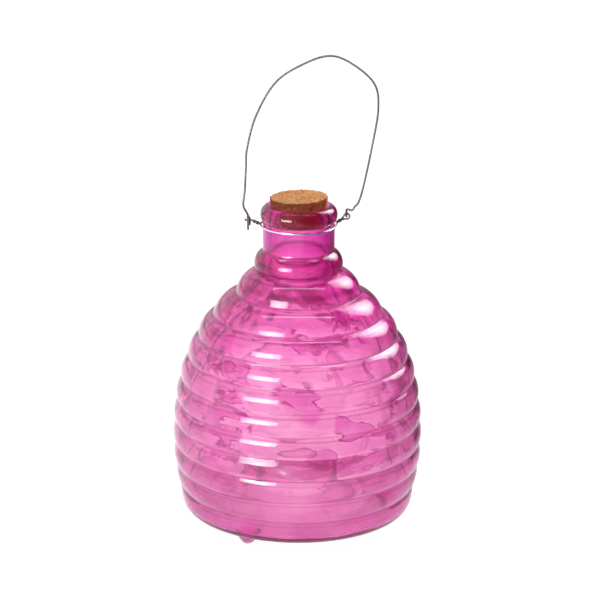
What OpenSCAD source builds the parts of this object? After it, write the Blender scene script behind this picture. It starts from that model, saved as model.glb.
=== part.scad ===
// Glass fly trap: a ringed beehive bottle on three glass feet, with an entry hole in
// its pushed-in base, a cork stopper, a wire tie round the neck and a wire bail.
// Millimetres. +Z is up, the feet stand on Z = 0, the bottle's axis is the Z axis,
// and the front is -Y.

/* [Glass body] */
// Greatest radius of the bottle, over its rings
body_r = 70; // [62:0.5:80]
// Height of the widest place over the base
widest_h = 40; // [30:1:50]
// Height from the widest place up to where the dome would close
dome_h = 98; // [90:1:110]
// Depth from the widest place down to where the lower taper would close
taper_h = 78; // [65:1:110]
// Power of the dome's curve, where 2 is an ellipse
dome_power = 2.25; // [2:0.05:2.8]
// Thickness of the glass at the belly
wall = 2.2; // [1.8:0.1:3.5]
// Thickness of the glass at the neck
neck_wall = 4.6; // [3.5:0.1:5]
// Upper rings over which the glass thickens to that
shoulder_rings = 4; // [2:1:6]
// Thickness of the glass in the base and the entry collar
base_wall = 3; // [2.5:0.1:4]

/* [Rings] */
// Even rings between the base ring and the collar ring under the neck
ring_count = 10; // [8:1:10]
// Height of one even ring
ring_pitch = 12.5; // [11:0.1:13.5]
// How far the uppermost even ring stands out of its grooves
ring_bulge_top = 2.9; // [1.5:0.1:3.5]
// How far the lowest even ring stands out of its grooves
ring_bulge_low = 1.3; // [0.8:0.1:2.5]
// Height of the base ring
base_ring_h = 13.4; // [12:0.1:16]
// Width of the rounding under the base ring
base_corner_w = 5; // [4.5:0.1:7]
// Height of that rounding
base_corner_h = 10; // [7:0.5:11]
// Radius of the groove under the collar ring
collar_groove_r = 23.6; // [22.5:0.1:27]
// Height of the collar ring
collar_ring_h = 11.9; // [9:0.1:14]
// How far the collar ring stands out
collar_bulge = 2.7; // [1.5:0.1:3.5]

/* [Neck and lip] */
// Outer radius of the neck
neck_r = 20; // [19:0.1:22]
// Height of the plain neck below the lip
neck_h = 16.3; // [13:0.1:24]
// Outer radius of the lip
lip_r = 21.5; // [21:0.1:24]
// Height of the lip's bead, from its middle to the rim
lip_half_h = 5.2; // [4.5:0.1:8]
// Radius of the mouth's bore
mouth_r = 15.4; // [13:0.1:16]
// Rounding of the mouth's rim
rim_round = 1.5; // [0.8:0.1:2]

/* [Entry] */
// Radius of the entry hole in the base
entry_r = 20; // [15:0.5:26]
// Height of the entry collar's rim over the base
entry_h = 22; // [20:1:45]
// Straight length of the entry hole's wall
entry_wall_h = 6; // [5:0.5:10]
// Radius where the flare below the entry hole meets the flat of the base
flare_r = 47; // [40:0.5:48]

/* [Feet] */
// Height of the feet below the base
foot_h = 6; // [5:0.5:10]
// Number of feet
foot_count = 3; // [3:1:3]
// Radius of a foot where it meets the base
foot_r = 6.4; // [5:0.1:6.5]
// Radius of the flat under a foot
foot_flat_r = 2; // [1.5:0.1:3]
// Direction of the first foot, turned from +X
foot_turn = 240; // [0:1:360]

/* [Cork] */
// Radius of the cork's top
cork_top_r = 16.2; // [15.7:0.1:17.5]
// Radius of the cork's lower end
cork_low_r = 13.8; // [11.5:0.1:14.5]
// Length of the cork
cork_len = 16; // [13:0.5:22]
// Chamfer on the cork's edges
cork_chamfer = 0.5; // [0.2:0.1:1]
// Gap between the cork and the mouth where it seats
cork_gap = 0.16; // [0.12:0.01:0.25]
// How far the cork leans to the rear
cork_lean_back = 0.5; // [0:0.5:4]
// How far the cork leans to the left
cork_lean_left = 2; // [0:0.5:4]

/* [Neck tie] */
// Thickness of the tie's wire
tie_d = 1; // [0.8:0.05:1.3]
// Gap between the tie and the neck
tie_gap = 0.35; // [0.25:0.05:0.8]
// Depth of the tie's ring below the foot of the lip
tie_drop = 2.2; // [1.6:0.1:5]
// Slope of the right ear
right_ear_slope = 32; // [20:1:40]
// Length of the right ear's twist
right_twist_len = 3.2; // [3:0.1:5]
// Length from that twist to the middle of the eye
eye_reach = 2.2; // [2:0.1:3.5]
// Radius of the eye, to the middle of the wire
eye_r = 1.6; // [1.5:0.05:2]
// Slope of the left ear
left_ear_slope = 24; // [15:1:28]
// Length of the left ear's twist
left_twist_len = 3.6; // [3.6:0.1:6]
// Length of the straight end that the bail's left ring hangs on
pin_len = 2.9; // [2.9:0.1:6]

/* [Bail] */
// Thickness of the bail's wire
bail_d = 1.1; // [0.9:0.05:1.4]
// Height of the bail over its hinge line
bail_h = 88.5; // [75:0.5:110]
// How far the left leg bows out past its ear
left_bow = 2.3; // [1:0.1:5]
// How far the right leg bows out past its ear
right_bow = 21.3; // [15:0.1:26]
// Distance of the bail's top from the right ear, towards the left
top_shift = 2.4; // [0:0.1:10]
// Radius of the bail's ring round the left ear, to the middle of the wire
left_ring_r = 2.4; // [2.3:0.05:3]
// Length of the wire's tail below that ring
tail_len = 6; // [3:0.5:9]

/* [Hidden] */
$fn = 96;
// Points in each ring's arc, and in each quarter turn of the larger roundings
arc_n = 8;
// Sides of a wire, and gap between the two strands of a twist
wire_sides = 8;
strand_gap = 0.06;

// Middle of the lip's bead, and where it leaves the neck, which tapers up to it if it is wider
lip_mid_r = mouth_r + rim_round;
lip_foot_r = min(neck_r, lip_r);
// Heights over the base of the glass, from which everything is raised by foot_h
neck_z = base_ring_h + ring_count * ring_pitch + collar_ring_h;
lip_foot_z = neck_z + neck_h;
lip_mid_z = lip_foot_z + lip_rise(lip_foot_r);
lip_top_z = lip_mid_z + lip_half_h;
// Top of the flare under the entry hole
flare_z = entry_h - base_wall / 2 - entry_wall_h;
// Radius of the base ring, and of the circle along the middle of the flat that the feet are on
base_r = groove_r(base_ring_h) + 0.3;
foot_circle_r = (flare_r + base_r - base_corner_w) / 2;
// The cork seats where its taper meets the top of the mouth's bore
seat_z = lip_top_z - rim_round;
cork_slope = (cork_top_r - cork_low_r) / cork_len;
cork_top_z = seat_z + (cork_top_r - mouth_r + cork_gap) / cork_slope;
// A leaning taper meets the seat off its middle, so the cork is moved back by as much
cork_shift = cork_slope * mouth_r * [sin(cork_lean_left), -sin(cork_lean_back)];

// Curves

function unit(v) = v / norm(v);
function mix(a, b, t) = a + (b - a) * t;
function flip(list) = [for (i = [len(list) - 1 : -1 : 0]) list[i]];

// Points of an ellipse's arc from angle a to angle b
function arc(centre, rx, ry, a, b, n) =
    [for (i = [0 : n]) centre + [rx * cos(mix(a, b, i / n)), ry * sin(mix(a, b, i / n))]];

// Points of the circular arc from p to q whose middle stands rise to the right
function bulge(p, q, rise, n) =
    let (chord = norm(q - p),
         r = (chord * chord / 4 + rise * rise) / (2 * rise),
         along = (q - p) / chord,
         centre = (p + q) / 2 + [along.y, -along.x] * (rise - r),
         a = atan2(p.y - centre.y, p.x - centre.x),
         half = asin(chord / 2 / r))
    arc(centre, r, r, a, a + 2 * half, n);

// Points on a smooth curve from p to q with end directions u and v
function hermite(p, u, q, v, n) =
    [for (i = [0 : n]) let (t = i / n, s = 1 - t)
        p * (1 + 2 * t) * s * s + u * t * s * s + q * t * t * (3 - 2 * t) - v * t * t * s];

// Points on a smooth curve through all the knots, n to each gap
function spline(knots, n) =
    [for (i = [0 : len(knots) - 2])
        let (before = knots[max(i - 1, 0)], p = knots[i], q = knots[i + 1],
             after = knots[min(i + 2, len(knots) - 1)])
        each [for (j = [0 : n - 1]) hermite(p, (q - before) / 2, q, (after - p) / 2, n)[j]],
     knots[len(knots) - 1]];

// Points of one strand that winds round the line from p along dir
function strand(p, dir, len, radius, phase, turns, n) =
    let (side = [0, 1, 0], over = cross(dir, side))
    [for (i = [0 : n]) let (a = phase + 360 * turns * i / n)
        p + dir * len * i / n + radius * (side * cos(a) + over * sin(a))];

// Wires

function tangents(path) =
    [for (i = [0 : len(path) - 1])
        unit(path[min(i + 1, len(path) - 1)] - path[max(i - 1, 0)])];

// A side direction for each point that turns no more than the path does
function sides(along, i = 0, last = [0.3, 0.5, 0.8], found = []) =
    i == len(along) ? found
    : let (side = unit(last - along[i] * (last * along[i])))
      sides(along, i + 1, side, concat(found, [side]));

// A round wire along a path
module wire(path, d) {
    along = tangents(path);
    side = sides(along);
    n = wire_sides;
    last = len(path) - 1;
    points = [for (i = [0 : last]) let (other = cross(along[i], side[i]))
        for (j = [0 : n - 1])
            path[i] + d / 2 * (side[i] * cos(360 * j / n) + other * sin(360 * j / n))];
    walls = [for (i = [0 : last - 1]) for (j = [0 : n - 1]) let (k = (j + 1) % n)
        each [[i * n + j, (i + 1) * n + k, i * n + k],
              [i * n + j, (i + 1) * n + j, (i + 1) * n + k]]];
    ends = [[for (j = [0 : n - 1]) j], [for (j = [n - 1 : -1 : 0]) last * n + j]];
    polyhedron(points, concat(walls, ends));
}

// Glass

// Radius of the grooves at a height over the base
function groove_r(z) =
    let (reach = z > widest_h ? dome_h : taper_h,
         part = min(1, abs(z - widest_h) / reach))
    max(collar_groove_r, (body_r - ring_bulge_low) * sqrt(1 - pow(part, dome_power)));

// Height from the foot of the lip, where its bead meets a wall of radius r, to its middle
function lip_rise(r) =
    lip_half_h * sqrt(1 - pow((r - mouth_r - rim_round) / (lip_r - mouth_r - rim_round), 2));

function groove(k) = let (z = base_ring_h + k * ring_pitch) [groove_r(z), z];
function ring_bulge(k) = mix(ring_bulge_low, ring_bulge_top, k / (ring_count - 1));

// Thickness of the glass at groove k, and that groove set in through it
function wall_at(k) =
    let (t = max(0, 1 - (ring_count - k) / shoulder_rings)) mix(wall, neck_wall, t * t * (3 - 2 * t));
function inner_groove(k) =
    let (up = unit((k == ring_count ? [neck_r, neck_z] : groove(k + 1)) - groove(max(k - 1, 0))))
    groove(k) - wall_at(k) * [up.y, -up.x];

// Underside: down the entry hole, out along its flare and round the base ring
function underside() = concat(
    [[entry_r, entry_h - base_wall / 2]],
    arc([flare_r, flare_z], flare_r - entry_r, flare_z, 180, 270, 2 * arc_n),
    arc([base_r - base_corner_w, base_corner_h], base_corner_w, base_corner_h, -90, 0, arc_n));

// Outside: up over the rings, the neck and the lip to the rim of the mouth
function outside() = concat(
    [for (k = [0 : ring_count - 1]) each bulge(groove(k), groove(k + 1), ring_bulge(k), arc_n)],
    bulge(groove(ring_count), [neck_r, neck_z], collar_bulge, arc_n),
    arc([lip_mid_r, lip_mid_z], lip_r - lip_mid_r, lip_half_h,
        -acos((lip_foot_r - lip_mid_r) / (lip_r - lip_mid_r)), 90, 2 * arc_n),
    arc([lip_mid_r, seat_z], rim_round, rim_round, 90, 180, arc_n));

// Inside: down the mouth and the neck, over the rings' backs and across the trough
// to the entry collar, whose rim is round
function inside() = concat(
    [[mouth_r, lip_mid_z - lip_half_h / 2], [neck_r - neck_wall, lip_foot_z - base_wall],
     [neck_r - neck_wall, neck_z + base_wall]],
    flip([for (k = [0 : ring_count - 1])
        each bulge(inner_groove(k), inner_groove(k + 1), ring_bulge(k) / 2, arc_n)]),
    arc([base_r - base_corner_w, base_corner_h], base_corner_w - base_wall,
        base_corner_h - base_wall, 0, -90, arc_n),
    arc([flare_r, flare_z], flare_r - entry_r - base_wall, flare_z - base_wall, 270, 180, 2 * arc_n),
    arc([entry_r + base_wall / 2, entry_h - base_wall / 2], base_wall / 2, base_wall / 2,
        0, 180, arc_n));

module glass_body() {
    color([0.85, 0.2, 0.6, 0.5]) translate([0, 0, foot_h])
        rotate_extrude() polygon(concat(underside(), outside(), inside()));
}

// One foot, a blunt nub stuck to the flat of the base
module foot(turn) {
    color([0.85, 0.2, 0.6, 0.5]) rotate([0, 0, turn]) translate([foot_circle_r, 0, 0])
        rotate_extrude($fn = 48)
            polygon(concat([[0, 0]],
                           bulge([foot_flat_r, 0], [foot_r, foot_h], foot_h / 6, arc_n),
                           [[0, foot_h]]));
}

// Cork

// It leans about the middle of the circle that it seats on
module cork_stopper() {
    c = cork_chamfer;
    top = cork_top_z - seat_z;
    low = top - cork_len;
    color([0.78, 0.55, 0.33]) translate([cork_shift.x, cork_shift.y, foot_h + seat_z])
        rotate([-cork_lean_back, -cork_lean_left, 0]) rotate_extrude()
            polygon([[0, low], [cork_low_r - c, low], [cork_low_r + cork_slope * c, low + c],
                     [cork_top_r - cork_slope * c, top - c], [cork_top_r - c, top], [0, top]]);
}

// Neck tie: one wire, folded into an eye at the right and twisted to an end at the left

tie_r = neck_r + tie_gap + tie_d / 2;
tie_z = foot_h + lip_foot_z - tie_drop;
strand_r = (tie_d + strand_gap) / 2;
right_dir = [cos(right_ear_slope), 0, sin(right_ear_slope)];
right_up = [-sin(right_ear_slope), 0, cos(right_ear_slope)];
left_dir = [-cos(left_ear_slope), 0, sin(left_ear_slope)];
right_root = [tie_r + tie_d, 0, tie_z + 2 * tie_d];
left_root = [-tie_r - tie_d, 0, tie_z + 0.4 * tie_d];
eye = right_root + right_dir * (right_twist_len + eye_reach);
// Angle at which the tie's legs leave the neck for an ear
leave = 28;
right_turns = 0.75;
left_turns = 1;
// The hinge line of the bail runs from a pin at the left to the eye's upper side
pin_root = left_root + left_dir * (left_twist_len + 1.2 * tie_d);
right_hinge = eye + [0, 0, eye_r / cos(right_ear_slope)];
hinge_dir = unit(right_hinge - pin_root);
pin_end = pin_root - hinge_dir * pin_len;
left_hinge = pin_root - hinge_dir * pin_len / 2;
hinge_tilt = atan2(hinge_dir.z, hinge_dir.x);

function on_neck(a) = [tie_r * cos(a), tie_r * sin(a), tie_z];
function round_neck(a, b) = [for (i = [0 : 32]) on_neck(mix(a, b, i / 32))];

// The leg from the neck at angle a to the start of a strand, sense being its way round
function leg(a, sense, p, dir) =
    let (n = 8, u = sense * tie_r / 2 * [-sin(a), cos(a), 0], v = dir * tie_d * 3)
    [for (i = [1 : n - 1]) hermite(on_neck(a), u, p, v, n)[i]];

function right_strand(phase) =
    strand(right_root, right_dir, right_twist_len, strand_r, phase, right_turns, 10);
function left_strand(phase) =
    strand(left_root, left_dir, left_twist_len, strand_r, phase, left_turns, 16);

// The eye, from the upper strand over its round far end to the lower one
function eye_loop(from, to) =
    let (far = [for (a = [90 : -30 : -90]) eye + eye_r * (right_dir * cos(a) + right_up * sin(a))],
         all = spline(concat([from], far, [to]), 3))
    [for (i = [1 : len(all) - 2]) all[i]];

front_phase = 180;
rear_phase = 0;
front_at_eye = right_strand(front_phase)[10];
rear_at_eye = right_strand(rear_phase)[10];
front_left = left_strand(front_phase);
rear_left = left_strand(rear_phase);
last_turn = 1.5 * tie_d * unit(front_left[16] - front_left[15]);

module neck_tie_wire() {
    path = concat(
        hermite(pin_root, hinge_dir * tie_d, front_left[16], -last_turn, 4),
        flip([for (i = [0 : 15]) front_left[i]]),
        flip(leg(180 + leave, -1, front_left[0], left_dir)),
        round_neck(180 + leave, 360 - leave),
        leg(360 - leave, 1, right_strand(front_phase)[0], right_dir),
        right_strand(front_phase),
        eye_loop(front_at_eye, rear_at_eye),
        flip(right_strand(rear_phase)),
        flip(leg(leave, -1, right_strand(rear_phase)[0], right_dir)),
        round_neck(leave, 180 - leave),
        leg(180 - leave, 1, rear_left[0], left_dir),
        rear_left);
    color([0.55, 0.53, 0.52]) {
        wire(path, tie_d);
        pin();
    }
}

// The front strand goes on as a pin on the hinge line and is bent up past the bail's ring
module pin() {
    d = tie_d + 0.04;
    translate(pin_end) rotate([0, -hinge_tilt, 0]) {
        rotate([0, 90, 0]) cylinder(d = d, h = pin_len + 0.3);
        sphere(d = d + 0.04);
        rotate([0, -40, 0]) cylinder(d = d, h = tie_d);
    }
}

// Bail: it turns on the line through the two ears

right_ring_r = right_hinge.z - eye.z;
half_span = norm(right_hinge - left_hinge) / 2;
hinge_mid = (left_hinge + right_hinge) / 2;

// Points of a ring round the hinge line that falls at the rear, from angle a to angle b
// below the rear side, drifting along the line
function hinge_ring(x, r, drift, a, b) =
    [for (i = [0 : 24]) [x + drift * i / 24, r * cos(mix(a, b, i / 24)), -r * sin(mix(a, b, i / 24))]];

// The bail's own frame has its X axis on the hinge line, and its height over that line
module bail_wire() {
    ring_gap = bail_d + 0.15;
    left = hinge_ring(-half_span + ring_gap / 2, left_ring_r, -ring_gap, 0, 360);
    right = hinge_ring(half_span, right_ring_r, -0.4, -60, 220);
    tail = left[24] + [-0.3, 0, -tail_len];
    knots = [left[0],
             [-half_span - left_bow / 3, left_ring_r / 2, 0.045 * bail_h],
             [-half_span - left_bow, 0, 0.1 * bail_h],
             [-half_span - left_bow / 3, 0, 0.194 * bail_h],
             [-half_span + 0.9, 0, 0.338 * bail_h],
             [-half_span + 2.4, 0, 0.457 * bail_h],
             [-half_span + 8.8, 0, 0.661 * bail_h],
             [-half_span + 21.2, 0, 0.864 * bail_h],
             [half_span - top_shift - 14, 0, 0.967 * bail_h],
             [half_span - top_shift, 0, bail_h],
             [half_span - top_shift + 11.5, 0, 0.939 * bail_h],
             [half_span + right_bow - 1.2, 0, 0.807 * bail_h],
             [half_span + right_bow, 0, 0.649 * bail_h],
             [half_span + right_bow - 4.3, 0, 0.435 * bail_h],
             [half_span + right_bow / 2, 0, 0.179 * bail_h],
             [half_span + right_bow / 3, 0, 0.068 * bail_h],
             [half_span + right_bow / 4.5, 0, 0.038 * bail_h],
             [half_span + 3.3, 0, 0.8 * right_ring_r],
             [half_span + 2.1, 0, 0.8 * right_ring_r],
             [half_span + 0.9, 0, 1.1 * right_ring_r],
             right[0]];
    path = concat([tail], flip([for (i = [1 : 24]) left[i]]), spline(knots, 6),
                  [for (i = [1 : 24]) right[i]]);
    color([0.42, 0.4, 0.4]) translate(hinge_mid) rotate([0, -hinge_tilt, 0])
        wire(path, bail_d);
}

glass_body();
foot(foot_turn);  // foot_front
foot(foot_turn + 360 / foot_count);  // foot_right
foot(foot_turn + 2 * 360 / foot_count);  // foot_rear
cork_stopper();
neck_tie_wire();
bail_wire();
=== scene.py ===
import math

import bpy
import numpy as np
from mathutils import Matrix, Vector


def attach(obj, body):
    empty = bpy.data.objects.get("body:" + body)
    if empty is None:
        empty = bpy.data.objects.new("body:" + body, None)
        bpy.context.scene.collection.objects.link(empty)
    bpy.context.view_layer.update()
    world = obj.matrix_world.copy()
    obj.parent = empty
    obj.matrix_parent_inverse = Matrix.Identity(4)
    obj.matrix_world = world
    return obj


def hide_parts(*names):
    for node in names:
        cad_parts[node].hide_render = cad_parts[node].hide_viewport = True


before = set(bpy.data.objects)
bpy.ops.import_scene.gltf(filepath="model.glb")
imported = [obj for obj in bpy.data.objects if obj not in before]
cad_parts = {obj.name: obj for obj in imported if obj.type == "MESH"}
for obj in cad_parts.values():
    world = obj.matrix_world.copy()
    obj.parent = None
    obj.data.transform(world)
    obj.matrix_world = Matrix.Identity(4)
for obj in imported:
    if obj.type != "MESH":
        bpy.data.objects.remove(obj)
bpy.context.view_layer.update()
scene = bpy.context.scene
scene.view_settings.view_transform = "Standard"
mm = 0.001
perMm = 1000  # a pattern's scale is this divided by its size in mm
print("frame loaded:", ", ".join(sorted(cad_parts)))


# Small helpers

def hexColour(text):
    srgb = np.array([int(text[i:i + 2], 16) for i in (1, 3, 5)]) / 255
    linear = np.where(srgb <= 0.04045, srgb / 12.92, ((srgb + 0.055) / 1.055) ** 2.4)
    return (*linear.tolist(), 1.0)


def addNode(tree, kind, inputs=None, **settings):
    made = tree.nodes.new("ShaderNode" + kind)
    for key, value in settings.items():
        setattr(made, key, value)
    for key, value in (inputs or {}).items():
        if isinstance(value, bpy.types.NodeSocket):
            tree.links.new(value, made.inputs[key])
        else:
            made.inputs[key].default_value = value
    return made


def newMaterial(name):
    material = bpy.data.materials.new(name)
    material.use_nodes = True
    material.node_tree.nodes.clear()
    return material, material.node_tree


# A grid of points in mm, rows by columns, becomes a closed mesh: the columns go round and
# meet, and the rows either meet too or end in a point at each tip
def gridMesh(name, grid, tips=None):
    rows, columns = grid.shape[:2]
    index = np.arange(rows * columns).reshape(rows, columns)
    below = index if tips is None else index[:-1]
    above = np.roll(index, -1, 0)[:len(below)]
    faces = np.stack([below, np.roll(below, -1, 1), np.roll(above, -1, 1), above], -1)
    faces = faces.reshape(-1, 4).tolist()
    points = grid.reshape(-1, 3)
    if tips is not None:
        start = np.full(columns, len(points))
        faces += np.stack([start, np.roll(index[0], -1), index[0]], -1).tolist()
        faces += np.stack([start + 1, index[-1], np.roll(index[-1], -1)], -1).tolist()
        points = np.vstack([points, tips])
    mesh = bpy.data.meshes.new(name)
    mesh.from_pydata((points * mm).tolist(), [], faces)
    mesh.polygons.foreach_set("use_smooth", np.ones(len(faces), bool))
    piece = bpy.data.objects.new(name, mesh)
    scene.collection.objects.link(piece)
    return piece


# One number for each point of a mesh, which its material reads by name
def pointNumbers(piece, name, values):
    layer = piece.data.attributes.new(name, "FLOAT", "POINT")
    layer.data.foreach_set("value", values.astype(np.float32))


# The length of a line up to each of its points
def lengthsAlong(line):
    return np.r_[0, np.cumsum(np.linalg.norm(np.diff(line, axis=0), axis=1))]


# A line's points at given lengths along it
def readAt(line, along, places):
    return np.stack([np.interp(places, along, line[:, k]) for k in range(line.shape[1])], -1)


# Camera at the photograph's viewpoint

viewpoint = {
    "place": (0.00095, -1.29646, 0.53161),  # metres
    "lookDown": 17.348,  # degrees below level
    "roll": 0.4,
    "lens": 145.95, "sensor": 36.0,  # mm
}

camera = bpy.data.objects.new("camera", bpy.data.cameras.new("camera"))
camera.data.sensor_width = viewpoint["sensor"]
camera.data.lens = viewpoint["lens"]
camera.matrix_world = (
    Matrix.Translation(viewpoint["place"])
    @ Matrix.Rotation(math.radians(90 - viewpoint["lookDown"]), 4, "X")
    @ Matrix.Rotation(math.radians(viewpoint["roll"]), 4, "Z")
)
scene.collection.objects.link(camera)
scene.camera = camera


# Glass bottle, all in mm with heights over the base

bottle = {
    "bodyR": 70.0, "widestH": 40.0, "domeH": 98.0, "taperH": 78.0, "domePower": 2.25,
    "wall": 2.2, "neckWall": 4.6, "shoulderRings": 4, "baseWall": 3.0,
    "ringCount": 10, "ringPitch": 12.5, "bulgeTop": 2.9, "bulgeLow": 1.3, "innerBulge": 0.7,
    "baseRingH": 13.4, "baseStep": 0.3, "baseCornerW": 5.0, "baseCornerH": 10.0, "baseRingBulge": 0.35,
    "collarGrooveR": 23.6, "collarH": 11.9, "collarBulge": 2.7,
    "neckR": 20.0, "neckH": 16.3, "lipR": 21.5, "lipHalfH": 5.2, "mouthR": 15.4, "rimRound": 1.5,
    "entryR": 20.0, "entryH": 22.0, "entryWallH": 6.0, "flareR": 47.0,
    "footH": 6.0, "footR": 6.8, "footFlatR": 2.0, "footPower": 1.4, "footTurn": 240.0, "footCount": 3,
    # the painted shade lines at the grooves: their width and the step down to the second line
    "grooveWidth": 0.4, "grooveStep": 2.2, "neckFade": 3.0,
    "softness": 0.2,  # how round the grooves and edges are
    "fineStep": 0.1,  # step along the cut line while it is made soft
    "rows": 410, "columns": 240,
    # how close the rows lie on a plain stretch, and by how much closer in a bend and among the feet
    "plainRows": 0.4, "bendRows": 1.3, "footRows": 1.6, "innerRows": 0.6, "sharpestBend": 2.5,
    # the flat with the feet lies under this height; it and the feet start so far inside the flare
    "flatH": 0.4, "flatLead": 3.0, "footLead": 8.0,
    # how far along the line the outer side starts before the base ring and ends before the rim of the
    # mouth, and how far after that rim the inner side starts
    "outerLead": 8.0, "outerEnd": 18.0, "innerLead": 14.0,
    "innerWave": 0.024, "outerWave": 0.0015,  # steepness of the waves blown into each side
    "waveFromR": 21.0, "waveFade": 12.0,  # the inner waves start at this radius and grow over that width
    "waveLengths": (9.0, 34.0), "waveCount": 90, "seed": 11,
    "waveShare": 0.8,  # the crests are counted round this share of the body's radius
    # colours of the clear glass, of what lies in it or on it (the cords and patches partly painted
    # refraction shade, the lines at the grooves painted shade), and of its depth
    "clear": ("#FCF6EA", "#FCFFF0"), "patchAndShade": "#E07EC0", "cordAndShade": "#8C0062",
    "groove": "#C878AA", "neck": "#E1BCE2", "depth": "#F13CDB", "density": 245.0,
    # sizes of the orange peel, the clouds, the cords round and up the bottle, drawn partly as painted
    # refraction lines, and the places with cords
    "peel": 8, "cloud": 30, "cordSize": (24, 24, 8), "places": 28,
    "peelBump": (0.015, 0.2),  # outside and inside
    "cordEdge": (0.016, 0.021), "placeEdge": (0.49, 0.54), "patchEdge": (0.515, 0.525),
    "cordsFrom": (0.03, 0.06), "cordsBelow": 0.25,  # heights in metres, and the share left below them
    "smear": (0.45, 0.75), "roughest": 0.03,
    "ior": 1.33,  # glass has 1.5, which draws the rings' edges too dark in a wall this even
    "gloss": 0.42, "glossRough": 0.01, "glossIor": 1.5,
    "alpha": 0.8,  # the rest of the light goes straight through, as in a thin wall
}
neckZ = bottle["baseRingH"] + bottle["ringCount"] * bottle["ringPitch"] + bottle["collarH"]
lipMidR = bottle["mouthR"] + bottle["rimRound"]
lipOut = bottle["lipR"] - lipMidR
neckShare = (bottle["neckR"] - lipMidR) / lipOut
lipMidZ = neckZ + bottle["neckH"] + bottle["lipHalfH"] * math.sqrt(1 - neckShare ** 2)
rimZ = lipMidZ + bottle["lipHalfH"] - bottle["rimRound"]


# An ellipse's arc: the centre plus the two radii times the cosine and sine of an angle in degrees
def ellipseArc(centre, radiusX, radiusY, start, end, count=24):
    angle = np.radians(np.linspace(start, end, count + 1))
    return np.array(centre) + np.stack([radiusX * np.cos(angle), radiusY * np.sin(angle)], -1)


# The circular arc from p to q whose middle stands out by rise, to the right of the way from p to q
def bulgeArc(p, q, rise, count=24):
    p, q = np.array(p), np.array(q)
    chord = np.linalg.norm(q - p)
    radius = (chord ** 2 / 4 + rise ** 2) / (2 * rise)
    along = (q - p) / chord
    centre = (p + q) / 2 + np.array([along[1], -along[0]]) * (rise - radius)
    start = math.degrees(math.atan2(*(p - centre)[::-1]))
    end = start + 2 * math.degrees(math.asin(chord / 2 / radius))
    return ellipseArc(centre, radius, radius, start, end, count)


# Grooves lie on a dome: radius = widest * sqrt(1 - (distance from the widest height / reach) ^ power)
def grooveRadius(height):
    b = bottle
    reach = b["domeH"] if height > b["widestH"] else b["taperH"]
    share = np.minimum(1, abs(height - b["widestH"]) / reach)
    dome = (b["bodyR"] - b["bulgeLow"]) * math.sqrt(1 - share ** b["domePower"])
    return max(b["collarGrooveR"], dome)


grooveHeights = bottle["baseRingH"] + bottle["ringPitch"] * np.arange(bottle["ringCount"] + 1)
baseR = grooveRadius(bottle["baseRingH"]) + bottle["baseStep"]


# The cut line through one side of the wall, as one loop: under the base, up the outside over the
# rings and the lip, and down the inside to the entry collar
def bottleLine():
    b = bottle
    count, wall = b["ringCount"], b["baseWall"]
    grooves = [np.array([grooveRadius(h), h]) for h in grooveHeights]
    bulges = np.linspace(b["bulgeLow"], b["bulgeTop"], count)
    flareAt = [b["flareR"], b["entryH"] - wall / 2 - b["entryWallH"]]
    flareW = b["flareR"] - b["entryR"]
    cornerAt = [baseR - b["baseCornerW"], b["baseCornerH"]]
    innerNeckR = b["neckR"] - b["neckWall"]
    inner = []
    for k in range(count + 1):
        nextUp = np.array([b["neckR"], neckZ]) if k == count else grooves[k + 1]
        up = nextUp - grooves[max(k - 1, 0)]
        up = up / np.linalg.norm(up)
        # the glass thickens by a smooth step over the upper rings
        share = max(0, 1 - (count - k) / b["shoulderRings"])
        thick = b["wall"] + (b["neckWall"] - b["wall"]) * share ** 2 * (3 - 2 * share)
        inner.append(grooves[k] - thick * np.array([up[1], -up[0]]))
    under = [
        [[b["entryR"], b["entryH"] - wall / 2]],
        ellipseArc(flareAt, flareW, flareAt[1], 180, 270),
        ellipseArc(cornerAt, b["baseCornerW"], b["baseCornerH"], -90, 0),
    ]
    lipStart = -math.degrees(math.acos(neckShare))
    outside = [
        bulgeArc([baseR, b["baseCornerH"]], grooves[0], b["baseRingBulge"]),
        *[bulgeArc(grooves[k], grooves[k + 1], bulges[k]) for k in range(count)],
        bulgeArc(grooves[count], [b["neckR"], neckZ], b["collarBulge"]),
        ellipseArc([lipMidR, lipMidZ], lipOut, b["lipHalfH"], lipStart, 90),
        ellipseArc([lipMidR, rimZ], b["rimRound"], b["rimRound"], 90, 180),
    ]
    backs = [bulgeArc(inner[k], inner[k + 1], bulges[k] * b["innerBulge"])[::-1] for k in range(count)]
    inside = [
        [[b["mouthR"], lipMidZ - b["lipHalfH"] / 2], [innerNeckR, neckZ + b["neckH"] - wall],
         [innerNeckR, neckZ + wall]],
        *backs[::-1],
        ellipseArc(cornerAt, b["baseCornerW"] - wall, b["baseCornerH"] - wall, 0, -90),
        ellipseArc(flareAt, flareW - wall, flareAt[1] - wall, 270, 180),
        ellipseArc([b["entryR"] + wall / 2, b["entryH"] - wall / 2], wall / 2, wall / 2, 0, 180),
    ]
    line = np.vstack([np.array(part, float) for part in under + outside + inside])
    marks = [sum(len(part) for part in under), sum(len(part) for part in under + outside)]
    return line, marks


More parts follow.
